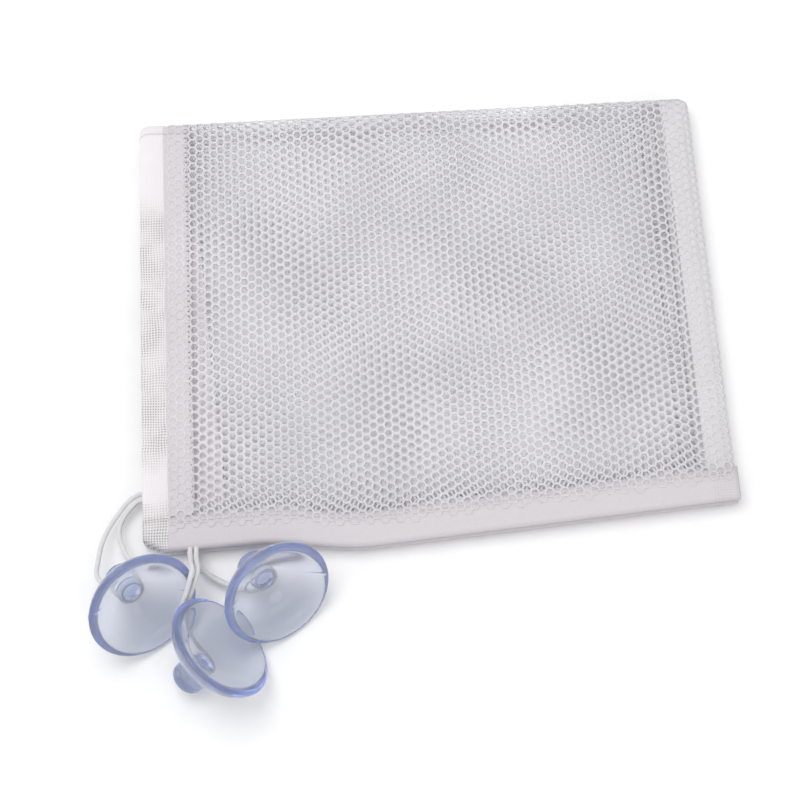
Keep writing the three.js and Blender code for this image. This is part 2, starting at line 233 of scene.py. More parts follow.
# Lights, each with its place and size in metres and its power, and the floor
TOP_LIGHT = ((-0.35, 0.3, 1.5), 1.2, 12.0)
FRONT_LIGHT = ((0.9, -1.2, 0.9), 0.8, 3.0)
WORLD_COLOUR, WORLD_STRENGTH = (1.0, 1.0, 1.0, 1.0), 0.72
FLOOR_HALF, FLOOR_Z = 9000.0, -0.2
CLEAR_BOUNCES, DIFFUSE_BOUNCES = 64, 14


def make_camera():
    flat = math.cos(CAMERA_ELEVATION)
    toward = Vector((
        math.sin(CAMERA_AZIMUTH) * flat,
        -math.cos(CAMERA_AZIMUTH) * flat,
        math.sin(CAMERA_ELEVATION),
    ))
    data = bpy.data.cameras.new("camera")
    data.lens = CAMERA_LENS
    data.sensor_width = SENSOR_WIDTH
    camera = bpy.data.objects.new("camera", data)
    camera.location = (CAMERA_TARGET + CAMERA_DISTANCE * toward) * MM
    camera.rotation_euler = toward.to_track_quat("Z", "Y").to_euler()
    scene.collection.objects.link(camera)
    scene.camera = camera


# Mesh helpers
def smoothstep(low, high, value):
    t = np.clip((np.asarray(value, float) - low) / (high - low), 0.0, 1.0)
    return t * t * (3.0 - 2.0 * t)


def mix(a, b, share):
    return a + (b - a) * share


def add_mesh(name, points, faces, material):
    mesh = bpy.data.meshes.new(name)
    mesh.from_pydata((np.asarray(points, float) * MM).tolist(), [], faces)
    mesh.polygons.foreach_set("use_smooth", [True] * len(mesh.polygons))
    mesh.materials.append(material)
    mesh.update()
    piece = bpy.data.objects.new(name, mesh)
    scene.collection.objects.link(piece)
    return piece


def face_out(piece):
    """Turns the faces of a closed mesh outwards."""
    work = bmesh.new()
    work.from_mesh(piece.data)
    bmesh.ops.recalc_face_normals(work, faces=work.faces)
    work.to_mesh(piece.data)
    work.free()


def loft_faces(rings, sides, first=0):
    """Quads between rings of points, with a flat cap at each end."""
    faces = []
    for ring in range(rings - 1):
        for side in range(sides):
            a = first + ring * sides + side
            b = first + ring * sides + (side + 1) % sides
            faces.append([a, b, b + sides, a + sides])
    faces.append([first + side for side in range(sides)][::-1])
    faces.append([first + (rings - 1) * sides + side for side in range(sides)])
    return faces


def loft(name, rings, material):
    rings = np.asarray(rings, float)
    piece = add_mesh(name, rings.reshape(-1, 3), loft_faces(*rings.shape[:2]), material)
    face_out(piece)
    return piece


# Materials
def grey(value):
    return (value, value, value)


class Nodes:
    """A material's nodes, with short calls to add and join them."""

    def __init__(self, name):
        self.material = bpy.data.materials.new(name)
        self.material.use_nodes = True
        self.tree = self.material.node_tree
        self.shader = self.tree.nodes["Principled BSDF"]
        self.place = self.add("ShaderNodeTexCoord").outputs["Object"]

    def add(self, kind, inputs=None, **values):
        node = self.tree.nodes.new(kind)
        for key, value in values.items():
            setattr(node, key, value)
        for key, value in (inputs or {}).items():
            if isinstance(value, bpy.types.NodeSocket):
                self.tree.links.new(value, node.inputs[key])
            else:
                node.inputs[key].default_value = value
        return node

    def set(self, **values):
        for key, value in values.items():
            socket = self.shader.inputs[key.replace("_", " ")]
            if isinstance(value, bpy.types.NodeSocket):
                self.tree.links.new(value, socket)
            else:
                socket.default_value = value

    def math(self, operation, a, b=0.0, c=0.5):
        return self.add("ShaderNodeMath", {0: a, 1: b, 2: c}, operation=operation).outputs[0]

    def axis(self, name):
        return self.add("ShaderNodeSeparateXYZ", {0: self.place}).outputs[name]

    def wave(self, coordinate, pitch):
        """A sine along one coordinate, from 0 to 1, with its pitch in metres."""
        angle = self.math("MULTIPLY", coordinate, math.tau / pitch)
        return self.math("MULTIPLY_ADD", self.math("SINE", angle), 0.5, 0.5)

    def noise(self, scale, detail=2.0):
        return self.add(
            "ShaderNodeTexNoise", {"Vector": self.place, "Scale": scale, "Detail": detail}
        ).outputs["Fac"]

    def ramp(self, value, *stops):
        node = self.add("ShaderNodeValToRGB", {"Fac": value})
        while len(node.color_ramp.elements) < len(stops):
            node.color_ramp.elements.new(0.5)
        for element, (position, colour) in zip(node.color_ramp.elements, stops):
            element.position = position
            element.color = (*colour, 1.0)
        return node.outputs["Color"]

    def blend(self, share, a, b, kind="MIX"):
        node = self.add("ShaderNodeMix", data_type="RGBA", blend_type=kind)
        for key, value in ((0, share), (6, a), (7, b)):
            if isinstance(value, bpy.types.NodeSocket):
                self.tree.links.new(value, node.inputs[key])
            else:
                node.inputs[key].default_value = (*value, 1.0) if key else value
        return node.outputs[2]

    def let_light_through(self, colour, share):
        """A share of the light passes and scatters on the other side."""
        through = self.add("ShaderNodeBsdfTranslucent", {"Color": colour}).outputs[0]
        both = self.add("ShaderNodeMixShader", {0: share, 1: self.shader.outputs[0], 2: through})
        self.tree.links.new(both.outputs[0], self.tree.nodes["Material Output"].inputs["Surface"])

    def bump(self, height, distance, strength=1.0):
        return self.add(
            "ShaderNodeBump", {"Height": height, "Distance": distance, "Strength": strength}
        ).outputs["Normal"]


def net_material():
    """Knitted polyester: twisted yarn along the strands and a slight change of white over the bag."""
    n = Nodes("net_yarn")
    yarn = n.noise(2600.0, 3.0)
    area = n.noise(22.0)
    white = n.ramp(area, (0.3, (0.925, 0.92, 0.93)), (0.7, (0.965, 0.96, 0.97)))
    shade = n.ramp(yarn, (0.3, (0.93, 0.93, 0.935)), (0.62, grey(1.0)))
    colour = n.blend(1.0, white, shade, "MULTIPLY")
    n.set(
        Base_Color=colour,
        Roughness=n.math("MULTIPLY_ADD", yarn, 0.25, 0.42),
        Normal=n.bump(yarn, 0.0002, 0.6),
        Sheen_Weight=0.25,
        Sheen_Roughness=0.4,
        Specular_IOR_Level=0.35,
    )
    n.let_light_through(colour, 0.58)
    return n.material


def tape_material(name, dense_tint):
    """Woven tape: a sheer dotted outer half, in patches, a dense ribbed inner half and a row of needle
    holes painted dark as their shade.
    """
    n = Nodes(name)
    x, y = n.axis("X"), n.axis("Y")
    drift = n.math("MULTIPLY", n.noise(90.0), DOT_DRIFT)
    dots_along = n.wave(n.math("ADD", x, drift), DOT_PITCH)
    dots_across = n.wave(n.math("ADD", y, drift), DOT_PITCH)
    dots = n.math("MULTIPLY", dots_along, dots_across)
    ribs = n.wave(x, RIB_PITCH)
    weave = n.noise(1800.0, 3.0)
    outer_half = n.math("LESS_THAN", x, (MOUTH_X + DOTS_END) * MM)
    far_end = n.math("GREATER_THAN", x, (BOTTOM_X - FAR_DOTS_START) * MM)
    patch = n.ramp(
        n.math("MULTIPLY_ADD", y, PATCH_SCALE, PATCH_SHIFT),
        (0.10, grey(1.0)),
        (0.12, grey(0.15)),
        (0.17, grey(0.15)),
        (0.22, grey(1.0)),
        (0.74, grey(1.0)),
        (0.80, grey(0.15)),
    )
    worn = n.ramp(n.noise(75.0), (0.38, grey(0.5)), (0.6, grey(1.0)))
    sheer = n.math("MULTIPLY", n.math("MULTIPLY", outer_half, patch), worn)
    open_weave = n.math("MAXIMUM", sheer, n.math("MULTIPLY", far_end, FAR_DOTS_SHARE))
    dotted = n.math("MULTIPLY", open_weave, dots)
    # Painted shade: a row of dark marks where the needle holes are, standing for the shade inside them
    from_row = n.math("ABSOLUTE", n.math("SUBTRACT", x, (MOUTH_X + STITCH_ROW) * MM))
    in_row = n.math("LESS_THAN", from_row, NEEDLE_HALF)
    on_net = n.math("GREATER_THAN", y, (CORNER_Y + BINDING_WIDTH + NEEDLE_CLEAR) * MM)
    pierced = n.math("GREATER_THAN", n.wave(y, STITCH_PITCH * MM), NEEDLE_LEVEL)
    needle_hole_shade = n.math("MULTIPLY", n.math("MULTIPLY", in_row, on_net), pierced)
    dots_and_hole_shade = n.math("MAXIMUM", dotted, needle_hole_shade)
    white = n.ramp(weave, (0.3, (0.92, 0.89, 0.91)), (0.7, (0.97, 0.95, 0.96)))
    dense = n.blend(1.0, white, dense_tint, "MULTIPLY")
    # The dots are the tape's own pattern; the needle marks in the same dark colour are painted shade
    colour = n.blend(dots_and_hole_shade, n.blend(outer_half, dense, white), (0.34, 0.33, 0.34))
    height = n.math("SUBTRACT", n.math("MULTIPLY_ADD", ribs, 0.25, 0.5), dots_and_hole_shade)
    n.set(
        Base_Color=colour,
        Roughness=n.ramp(weave, (0.2, grey(0.62)), (0.8, grey(0.8))),
        Normal=n.bump(height, 0.00025, 0.8),
        Sheen_Weight=0.2,
        Specular_IOR_Level=0.3,
    )
    n.let_light_through(colour, 0.3)
    return n.material


def hem_material():
    """Net pressed flat in several layers: smooth, with the cells only just showing as faint painted
    shade in their holes.
    """
    n = Nodes("pressed_hem")
    x, y = n.axis("X"), n.axis("Y")
    cells = n.math("MULTIPLY", n.wave(x, CELL_X * MM), n.wave(y, CELL_Y * MM))
    weave = n.noise(1500.0, 3.0)
    # Painted shade: the cells' holes are a little darker, for the shade between the pressed layers
    faint_cell_shade = n.math("MULTIPLY", cells, n.noise(70.0))
    white = n.ramp(weave, (0.3, (0.83, 0.82, 0.83)), (0.7, (0.89, 0.875, 0.89)))
    colour = n.blend(faint_cell_shade, white, (0.76, 0.75, 0.77))
    n.set(
        Base_Color=colour,
        Roughness=n.ramp(weave, (0.2, grey(0.62)), (0.8, grey(0.8))),
        Normal=n.bump(n.math("ADD", cells, weave), 0.0002, 0.5),
        Sheen_Weight=0.2,
        Specular_IOR_Level=0.3,
    )
    n.let_light_through(colour, 0.35)
    return n.material


def cord_material():
    """Braided white cord: fine yarn across the braid that the mesh already has."""
    n = Nodes("braided_cord")
    yarn = n.noise(3200.0, 3.0)
    n.set(
        Base_Color=n.ramp(yarn, (0.3, (0.60, 0.60, 0.61)), (0.65, (0.74, 0.73, 0.74))),
        Roughness=n.ramp(yarn, (0.2, grey(0.6)), (0.8, grey(0.8))),
        Normal=n.bump(yarn, 0.0002, 0.7),
        Sheen_Weight=0.3,
        Specular_IOR_Level=0.3,
    )
    return n.material


def thread_material():
    # The thread is real, but its darker grey than the cloth is painted shade, so that the stitch rows
    # read dark like their holes
    n = Nodes("sewing_thread")
    twist = n.noise(4200.0, 2.0)
    n.set(
        Base_Color=n.ramp(twist, (0.3, (0.66, 0.65, 0.66)), (0.7, (0.80, 0.79, 0.80))),
        Roughness=n.ramp(twist, (0.2, grey(0.4)), (0.8, grey(0.55))),
        Normal=n.bump(twist, 0.0001, 0.5),
    )
    return n.material


def cup_material():
    """Clear soft PVC with a blue tint that grows with its thickness, and a hazy moulded skin."""
    n = Nodes("clear_pvc")
    haze = n.noise(90.0, 3.0)
    n.set(
        Base_Color=n.ramp(haze, (0.3, (0.98, 0.98, 0.985)), (0.7, grey(1.0))),
        Roughness=n.ramp(haze, (0.3, grey(0.04)), (0.75, grey(0.10))),
        Normal=n.bump(n.noise(260.0), 0.0002, 0.25),
        Transmission_Weight=0.94,
        IOR=1.46,
        Specular_IOR_Level=0.5,
    )
    n.let_light_through((0.96, 0.93, 0.94, 1.0), 0.06)
    volume = n.add("ShaderNodeVolumeAbsorption", {"Color": (0.12, 0.32, 0.78, 1.0), "Density": 30.0})
    n.tree.links.new(volume.outputs[0], n.tree.nodes["Material Output"].inputs["Volume"])
    return n.material


def floor_material():
    n = Nodes("paper_floor")
    grain = n.noise(60.0)
    n.set(
        Base_Color=n.ramp(grain, (0.3, (0.90, 0.90, 0.905)), (0.7, (0.92, 0.92, 0.925))),
        Roughness=0.9,
        Specular_IOR_Level=0.1,
    )
    return n.material


# Where the walls of the bag lie
def seam_y(x):
    """The seam's line, bowed out a little between the cups and the closed bottom."""
    way = x - MOUTH_X
    bow = SEAM_BOW * (1.0 - way / BAG_LENGTH) * smoothstep(*BOW_START, way)
    return CORNER_Y + SEAM_SLOPE * way - bow


def edge_y(x):
    """The seam's outer edge, which slants in at the mouth."""
    return seam_y(x) + BINDING_CHAMFER_Y * np.clip(1.0 - (x - MOUTH_X) / BINDING_CHAMFER_X, 0.0, 1.0)


def fold_round(x):
    """How far the fold draws in at its two ends, so that its corners are round."""
    at_mouth = np.clip(CORNER_ROUND - (x - MOUTH_X), 0.0, CORNER_ROUND)
    at_bottom = np.clip(CORNER_ROUND - (BOTTOM_X - x), 0.0, CORNER_ROUND)
    reach = np.maximum(at_mouth, at_bottom)
    return CORNER_ROUND - np.sqrt(CORNER_ROUND ** 2 - reach ** 2)


def ripple(x, y):
    long_wave = LONG_RIPPLE * np.sin(x / LONG_X + LONG_PHASE) * np.sin(y / LONG_Y)
    return long_wave + SHORT_RIPPLE * np.sin(x / SHORT_X - y / SHORT_Y)


def wall_turn(inner):
    """Radius of a wall's turn at the fold, and the y of its middle."""
    turn = INNER_TURN if inner else OUTER_TURN
    return turn, FOLD_Y - FOLD_GAP - STRAND_HEIGHT / 2 - turn - (INNER_SHORT if inner else 0.0)


def wall_z(x, y, upper, inner):
    """Height of a wall's middle: held open by the fold, sagging between, sewn together at the seam."""
    turn, middle_y = wall_turn(inner)
    past_fold = np.maximum(middle_y - y, 0.0)
    near_seam = 1.0 - smoothstep(BINDING_WIDTH, BINDING_WIDTH + SEWN_EASE, y - seam_y(x))
    between = smoothstep(0.0, SLACK_EASE, past_fold)
    side = 1.0 if upper else -1.0
    at_fold = FOLD_Z + side * turn
    if inner:
        slack, sewn, waving = UPPER_INNER if upper else LOWER_INNER
    else:
        slack, sewn, waving = UPPER_OUTER if upper else LOWER_OUTER
    flat = mix(mix(at_fold, slack, between), sewn, near_seam)
    flat = flat + waving * ripple(x, y) * between * (1.0 - near_seam)
    rise = np.sqrt(np.maximum(turn ** 2 - np.maximum(y - middle_y, 0.0) ** 2, 0.0))
    return np.where(y > middle_y, FOLD_Z + side * rise, flat)


def draw_in(x, y, inner):
    """The y of a point near the fold, drawn in where the fold's corner is round."""
    past_fold = np.maximum(wall_turn(inner)[1] - y, 0.0)
    return y - fold_round(x) * (1.0 - smoothstep(0.0, FOLD_EASE, past_fold))


def wall(x, s, inner):
    """Points and normals of the outer or inner wall at x and at s, the way along it from the fold.
    Below zero s is the lower half, above zero the upper half. Normals point out of the fold."""
    x, s = np.broadcast_arrays(np.asarray(x, float), np.asarray(s, float))
    turn, middle_y = wall_turn(inner)
    angle = np.clip(s / turn, -math.pi / 2, math.pi / 2)
    past_fold = np.maximum(np.abs(s) - turn * math.pi / 2, 0.0)
    y = middle_y + turn * np.cos(angle) - past_fold
    z = np.where(s > 0, wall_z(x, y, True, inner), wall_z(x, y, False, inner))
    normal = np.stack([np.zeros_like(x), np.cos(angle), np.sin(angle)], -1)
    return np.stack([x, draw_in(x, y, inner), z], -1), normal


def seam_reach(x, inner):
    """The way along a wall from the fold to its seam."""
    turn, middle_y = wall_turn(inner)
    return turn * math.pi / 2 + middle_y - edge_y(x)


def on_dense_half(way):
    """From 0 on the outer tape's sheer half to 1 on its dense half, which lies under the net."""
    return smoothstep(TAPE_SHEER - TAPE_EASE, TAPE_SHEER + TAPE_EASE, way)


# Net of six-sided cells
def net(name, inside, place, material, spin, field):
    """A net as one closed mesh. Each cell is a ring of roof-shaped strands from its edge to its hole.
    inside(u, v) says which cells are kept, and place(u, v) gives points and normals."""
    reach_u, reach_v = field
    columns = np.arange(-int(reach_u / CELL_X) - 2, int(reach_u / CELL_X) + 3)
    rows = np.arange(-int(reach_v / CELL_Y) - 2, int(reach_v / CELL_Y) + 3)
    column, row = (a.ravel() for a in np.meshgrid(columns, rows, indexing="ij"))
    cells = np.stack([3 * column, 2 * row + column % 2], -1)

    def flat(keys):
        u, v = keys[..., 0] * CELL_X / 3.0, keys[..., 1] * CELL_Y / 2.0
        c, s = math.cos(spin), math.sin(spin)
        return c * u - s * v, s * u + c * v

    cells = cells[inside(*flat(cells))]
    corner_keys = cells[:, None, :] + CELL_CORNERS[None]
    keys, ridge = np.unique(corner_keys.reshape(-1, 2), axis=0, return_inverse=True)
    ridge = ridge.reshape(-1, 6)
    hole_keys = cells[:, None, :] + HOLE_SHARE * CELL_CORNERS[None]
    points, normals = place(*flat(keys))
    lift = STRAND_HEIGHT / 2 * normals
    hole_points, _ = place(*flat(hole_keys.reshape(-1, 2)))
    count = len(keys)
    hole = 2 * count + np.arange(len(hole_points)).reshape(-1, 6)
    after = np.roll(np.arange(6), -1)
    under = ridge + count
    tops = np.stack([ridge, ridge[:, after], hole[:, after], hole], -1).reshape(-1, 4)
    bottoms = np.stack([under, hole, hole[:, after], under[:, after]], -1).reshape(-1, 4)
    edges = np.stack([ridge, ridge[:, after]], -1).reshape(-1, 2)
    edge_keys = np.sort(edges, axis=1)
    _, shared, times = np.unique(edge_keys, axis=0, return_inverse=True, return_counts=True)
    start, end = edges[times[shared.ravel()] == 1].T
    sides = np.stack([end, start, start + count, end + count], -1)
    faces = np.concatenate([tops, bottoms, sides])
    corner, along = points[tops[0, 0]], points[tops[0, 1]]
    across = hole_points[tops[0, 3] - 2 * count]
    if np.dot(np.cross(along - corner, across - corner), normals[tops[0, 0]]) < 0:
        faces = faces[:, ::-1]
    vertices = np.concatenate([points + lift, points - lift, hole_points])
    piece = add_mesh(name, vertices, faces.tolist(), material)
    piece.data.set_sharp_from_angle(angle=STRAND_SHARP)
    piece["strand_area"] = float(len(cells) * CELL_X * CELL_Y * (1.0 - HOLE_SHARE ** 2) * MM * MM)
    return piece


def wall_net(name, inner, s_low, s_high, material, sink=0.0, seam_band=None):
    """The part of a wall's net between two ways along it from the fold and two ways from its seam.
    A second layer of net is sunk below the wall."""
    seam_band = seam_band or (NET_UNDER if inner else BINDING_WIDTH - NET_OVER, FAR)

    def inside(u, v):
        x = u + MIDDLE_X
        first_x = TAPE_EDGE_X - UNDER_LINING if inner else MOUTH_X + TAPE_SHEER - UNDER_TAPE
        from_seam = seam_reach(x, inner) - np.abs(v)
        in_x = (x > first_x) & (x < BOTTOM_X - NET_END)
        in_band = (from_seam > seam_band[0]) & (from_seam < seam_band[1])
        return in_x & in_band & (v > s_low) & (v <= s_high)

    def place(u, v):
        x = u + MIDDLE_X
        points, normals = wall(x, v, inner)
        if not inner:
            tuck = TAPE_UNDER * (1.0 - on_dense_half(x - MOUTH_X))
            from_seam = seam_reach(x, inner) - np.abs(v)
            past_binding = smoothstep(BINDING_WIDTH, BINDING_WIDTH + LIFT_EASE, from_seam)
            lift = 0.0 if sink else SEAM_LIFT * (1.0 - past_binding)
            points = points + (lift - tuck - sink)[:, None] * normals
        return points, normals

    spin = INNER_SPIN if inner or sink else OUTER_SPIN
    return net(name, inside, place, material, spin, NET_FIELD)


def bottom_net(name, upper, material):
    """The net's own turn at the closed bottom of one half, from its outer to its inner wall."""
    depth, half_way = NET_END + 0.4, BOTTOM_NET_WIDTH / 2
    fold_clear = 2.0
    field = (half_way + 8.0, 140.0)

    def inside(u, v):
        y = MIDDLE_Y + v
        return (np.abs(u) < half_way) & (y > edge_y(BOTTOM_X) + NET_UNDER) & (y < FOLD_Y - fold_clear)

    def place(u, v):
        angle = np.clip(u / half_way, -1.0, 1.0) * math.pi / 2
        y = MIDDLE_Y + v
        at_x = np.full_like(y, BOTTOM_X - NET_END)
        below, above = wall_z(at_x, y, upper, upper), wall_z(at_x, y, upper, not upper)
        tall = np.maximum((above - below) / 2, BOTTOM_LEAST)
        x = BOTTOM_X - BOTTOM_INSET - depth * (1.0 - np.cos(angle))
        point = np.stack([x, draw_in(x, y, False), (above + below) / 2 + tall * np.sin(angle)], -1)
        normal = np.stack([tall * np.cos(angle), np.zeros_like(y), depth * np.sin(angle)], -1)
        return point, normal / np.linalg.norm(normal, axis=-1, keepdims=True)

    return net(name, inside, place, material, 0.0, field)


# Cloth: hems, tape round the mouth and binding along the seam
def slab(name, points, normals, half, material):
    """A closed sheet of the given half thickness round a grid of points, with softened edges."""
    rows, columns = points.shape[:2]
    thick = np.full((rows, columns, 1), half)
    thick[[0, -1]] *= EDGE_THIN
    thick[:, [0, -1]] *= EDGE_THIN
    size = rows * columns
    index = np.arange(size).reshape(rows, columns)
    a, b, c, d = index[:-1, :-1], index[1:, :-1], index[1:, 1:], index[:-1, 1:]
    top = np.stack([a, b, c, d], -1).reshape(-1, 4)
    rim = np.concatenate([index[0, :-1], index[:-1, -1], index[-1, :0:-1], index[:0:-1, 0]])
    after = np.roll(rim, -1)
    side = np.stack([rim, after, after + size, rim + size], -1)
    faces = np.concatenate([top, top[:, ::-1] + size, side])
    offset = thick * normals
    vertices = np.concatenate([(points + offset).reshape(-1, 3), (points - offset).reshape(-1, 3)])
    piece = add_mesh(name, vertices, faces.tolist(), material)
    face_out(piece)
    return piece


def bottom_hem(name, upper, material):
    """The turned-in end of the net at the bottom of one half: a flat cloth inside both walls."""
    depth = NET_END - 0.2
    leg_end = depth + 1.5
    longer = 0.0 if upper else 2 * HEM_STEP
    steps = (HEM_STEP, 0.0) if upper else (0.0, HEM_STEP)
    leg_below, leg_above = (
        np.linspace(HEM_WIDTH + longer + step, leg_end, HEM_LEG_POINTS) for step in steps
    )
    bow = np.linspace(-math.pi / 2, math.pi / 2, HEM_BOW_POINTS)
    turn_x = BOTTOM_X - HEM_INSET - depth * (1.0 - np.cos(bow))
    x = np.concatenate([BOTTOM_X - leg_below, turn_x, BOTTOM_X - leg_above[::-1]])
    y = np.linspace(edge_y(BOTTOM_X) + HEM_FROM_SEAM, FOLD_Y - HEM_FROM_FOLD, HEM_COLUMNS)
    x, y = np.broadcast_arrays(x[:, None], y[None, :])
    share = np.concatenate([np.zeros(HEM_LEG_POINTS), 0.5 + 0.5 * np.sin(bow), np.ones(HEM_LEG_POINTS)])
    at_x = np.minimum(x, BOTTOM_X - NET_END)
    below = wall_z(at_x, y, upper, upper) + HEM_GAP
    above = wall_z(at_x, y, upper, not upper) - HEM_GAP
    z = below + (np.maximum(above, below + HEM_LEAST) - below) * share[:, None]
    points = np.stack([x, draw_in(x, y, False), z], -1)
    way = np.gradient(points, axis=0)
    normals = np.stack([way[..., 2], np.zeros_like(x), -way[..., 0]], -1)
    normals /= np.linalg.norm(normals, axis=-1, keepdims=True)
    return slab(name, points, normals, PRESSED_HALF, material)


def mouth_tape(name, inner, s_low, s_high, material):
    """Tape on one wall at the mouth, between two ways from the fold. None stands for the seam."""
    x = MOUTH_X + TAPE_STATIONS[:, None]
    reach = seam_reach(x, inner) - TAPE_SHORT
    low = -reach if s_low is None else np.full_like(x, s_low)
    high = reach if s_high is None else np.full_like(x, s_high)
    steps = max(TAPE_LEAST_STEPS, int((high - low).max() / TAPE_STEP))
    s = low + (high - low) * np.linspace(0.0, 1.0, steps)[None, :]
    if inner:
        widen = TAPE_WIDEN * np.clip(-s / WALL_WIDTH, 0.0, 1.0)
        x = x + widen * smoothstep(*WIDEN_RANGE, TAPE_STATIONS)[:, None]
    points, normals = wall(x, s, inner)
    if not inner:
        under = TAPE_UNDER * on_dense_half(TAPE_STATIONS)
        points = points - under[:, None, None] * normals
    return slab(name, points, normals, TAPE_HALF, material)


def binding_profile():
    """A tape folded over the seam, as shares of its width and height."""
    bow = np.linspace(math.pi / 2, -math.pi / 2, BINDING_POINTS)
    turn = [(BINDING_ROUND - BINDING_ROUND * math.cos(a), 0.5 + 0.5 * math.sin(a)) for a in bow]
    return np.array([(1.0, 1.0), (BINDING_FLAT, 1.0), *turn, (BINDING_FLAT, 0.0), (1.0, 0.0)])


def side_binding(name, low, high, material):
    """A tape with its own thickness, folded over the seam, with a slightly uneven inner edge."""
    profile = binding_profile()
    tall = high - low
    cloth_share, inner_share = BINDING_CLOTH / tall, (tall - 2 * BINDING_CLOTH) / tall
    chamfer = np.linspace(0.0, BINDING_CHAMFER_X, 7)
    middle = np.linspace(*BINDING_MIDDLE)
    rings = []
    for station in np.concatenate([chamfer, middle, BINDING_END]):
        x = MOUTH_X + station
        edge = edge_y(x)
        width = seam_y(x) + BINDING_WIDTH - edge
        pull = 0.35 * math.sin(station / 9.0) + 0.2 * math.sin(station / 4.3 + 1.0)
        outside = [(x, edge + w * width, low + h * tall) for w, h in profile]
        inner_edge, inner_width = edge + BINDING_CLOTH, width - BINDING_CLOTH
        inside = [
            (x, inner_edge + w * inner_width, low + (cloth_share + h * inner_share) * tall)
            for w, h in profile[::-1]
        ]
        ring = np.array(outside + inside)
        ring[:, 1] += np.where(ring[:, 1] > edge + BINDING_LOOSE * width, 0.4 * pull, 0.0)
        rings.append(ring)
    return loft(name, rings, material)


def pressed_edge(name, upper, material):
    """The net's edge turned in and pressed flat inside the seam of one half."""
    first_x, last_x = TAPE_EDGE_X - PRESSED_ENDS, BOTTOM_X - HEM_WIDTH + PRESSED_ENDS
    x = np.linspace(first_x, last_x, PRESSED_COLUMNS)[:, None]
    width = PRESSED_EDGE + PRESSED_UNDER + 0.8 * np.sin(x / 17.0) + 0.5 * np.sin(x / 6.1)
    y = seam_y(x) + BINDING_WIDTH - PRESSED_UNDER + width * np.linspace(0.0, 1.0, PRESSED_ROWS)[None, :]
    x = np.broadcast_to(x, y.shape)
    normals = np.zeros((*y.shape, 3))
    normals[..., 2] = 1.0 if upper else -1.0
    points = np.stack([x, y, wall_z(x, y, upper, False)], -1) - PRESSED_SINK * normals
    return slab(name, points, normals, PRESSED_HALF, material)


# Stitches
def stitches(name, starts, ends, up, material):
    """A row of thread stitches, each a short arch that dips into the cloth at both ends."""
    around = np.linspace(0.0, math.tau, THREAD_SIDES, endpoint=False)
    along = np.array([0.0, 0.12, 0.35, 0.65, 0.88, 1.0])
    lift = np.array([-0.25, 0.08, 0.2, 0.2, 0.08, -0.25])
    points, faces = [], []
    up = np.asarray(up, float)
    for start, end in zip(starts, ends):
        way = end - start
        side = np.cross(up, way / np.linalg.norm(way))
        rings = [
            start + t * way + height * up + THREAD_RADIUS * (math.cos(a) * side + math.sin(a) * up)
            for t, height in zip(along, lift)
            for a in around
        ]
        faces += loft_faces(len(along), len(around), len(points))
        points += rings
    piece = add_mesh(name, points, faces, material)
    face_out(piece)
    return piece


def mouth_stitches(name, upper, material):
    side = 1.0 if upper else -1.0
    row_x = MOUTH_X + STITCH_ROW
    stop = float(seam_reach(row_x, False)) - STITCH_STOP
    marks = np.arange(STITCH_START, stop, STITCH_PITCH) * side
    step = STITCH_SHOWN * STITCH_PITCH * side
    up = (0.0, 0.0, side)
    rise = TAPE_HALF * np.array(up)
    starts = wall(row_x, marks, False)[0] + rise
    ends = wall(row_x, marks + step, False)[0] + rise
    return stitches(name, starts, ends, up, material)


def seam_stitches(name, height, upper, material):
    x = np.arange(MOUTH_X + SEAM_START, BOTTOM_X - SEAM_STOP, SEAM_STITCH)
    up = (0.0, 0.0, 1.0 if upper else -1.0)

    def on_seam(x):
        return np.stack([x, seam_y(x) + BINDING_WIDTH - SEAM_ROW, np.full_like(x, height)], -1)

    return stitches(name, on_seam(x), on_seam(x + SEAM_SHOWN * SEAM_STITCH), up, material)


# Cups and cords
def cup_place(number):
    """Rim centre of a cup, its axis from its knob to its rim, and two directions across the axis."""
    joint = joints[f"cup_{number}_swivel"]
    centre, axis = np.array(joint["pos_m"]) / MM, np.array(joint["axis"])
    across = np.cross((0.0, 0.0, 1.0), axis)
    across /= np.linalg.norm(across)
    return centre, axis, across, np.cross(axis, across)


def cord_points(number):
    """Points of a cord from its sewn-in start, round its cup's neck and back."""
    out, (turn_from, turn_to), back = CORD_ROUTES[number - 1]
    corner = np.array([MOUTH_X, CORNER_Y, 0.0])
    centre, axis, across, uphill = cup_place(number)
    neck = centre - TURN_DEPTH * axis
    turn = [
        neck + TURN_RADIUS * (math.cos(a) * across + math.sin(a) * uphill)
        for a in np.radians(np.linspace(turn_from, turn_to, TURN_POINTS))
    ]
    points = np.array([corner + p for p in out] + turn + [corner + p for p in back])
    sewn_in = np.array(SEWN_IN[number - 1])
    return np.concatenate([[points[0] + sewn_in], points, [points[-1] + sewn_in]])


